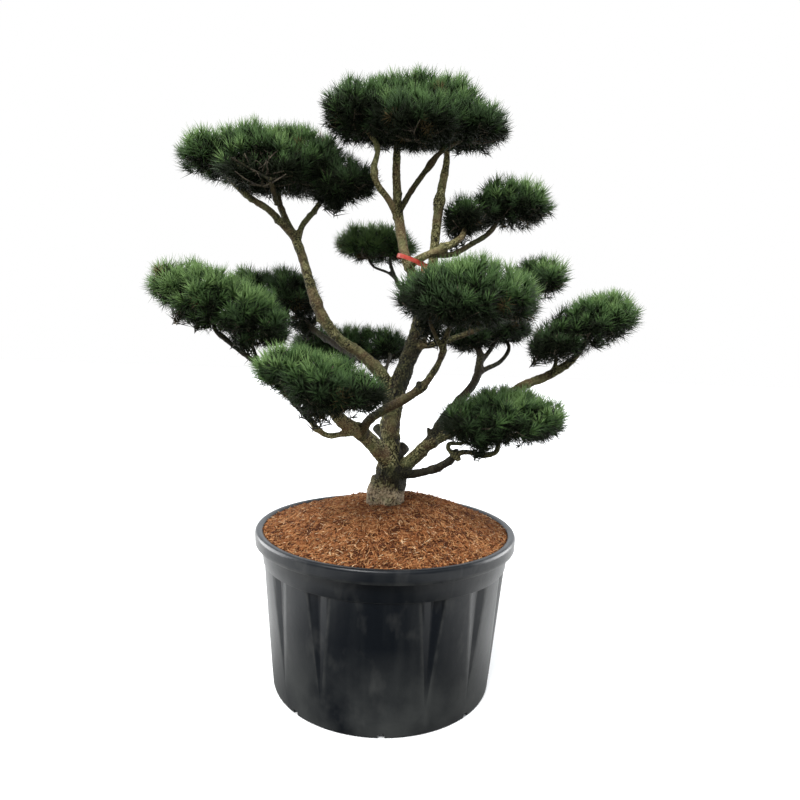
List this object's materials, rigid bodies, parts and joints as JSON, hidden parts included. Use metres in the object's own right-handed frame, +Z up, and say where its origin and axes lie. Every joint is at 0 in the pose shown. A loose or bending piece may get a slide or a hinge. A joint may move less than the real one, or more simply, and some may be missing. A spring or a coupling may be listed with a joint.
{
  "type": "potted gnom mugo pine",
  "caption": "Cloud-pruned dwarf mountain pine with a twisting trunk, open boughs and clipped clouds of needles, in a big black round nursery pot filled with bark mulch.",
  "frame": {"origin": "centre of the pot's flat underside", "axes": "+Z up, the tree's front is -Y, +X to the viewer's right"},
  "size_m": [1.6681, 1.043, 2.1539],
  "materials": {
    "bark": "rough grey-brown pine bark",
    "needles": "stiff green pine needles, brighter on top and dark underneath",
    "tape": "thin red-orange tie tape",
    "mulch": "loose red-brown fibrous bark mulch",
    "pot": "black moulded plastic with a satin rim and a dusty matt wall"
  },
  "bodies": {
    "root": {"trunk": "bark", "low_left_bough": "bark", "far_left_bough_inner": "bark", "far_left_bough_outer": "bark", "far_left_twin": "bark", "tall_left_bough": "bark", "upper_left_arm_near": "bark", "upper_left_arm_middle": "bark", "upper_left_arm_right": "bark", "second_leader": "bark", "top_arm_left": "bark", "top_arm_right": "bark", "right_high_bough": "bark", "right_high_lower_arm": "bark", "small_back_bough": "bark", "small_back_arm": "bark", "crossing_bough": "bark", "crossing_arm_up": "bark", "crossing_arm_left": "bark", "right_back_bough": "bark", "right_bough": "bark", "far_right_arm": "bark", "low_right_bough": "bark", "low_right_arm_outer": "bark", "low_right_arm_inner": "bark", "dark_back_bough": "bark", "dark_back_arm_right": "bark", "dark_back_arm_middle": "bark", "back_bough": "bark", "back_arm_left": "bark", "left_back_bough": "bark", "top_cloud": "needles", "upper_left_cloud": "needles", "small_back_cloud": "needles", "right_high_cloud": "needles", "centre_right_cloud": "needles", "right_back_cloud": "needles", "right_back_low_cloud": "needles", "far_right_cloud": "needles", "low_right_cloud": "needles", "front_left_cloud": "needles", "far_left_cloud": "needles", "left_back_cloud": "needles", "back_cloud": "needles", "tie_tape": "tape", "mulch": "mulch", "pot": "pot"}
  },
  "joints": []
}
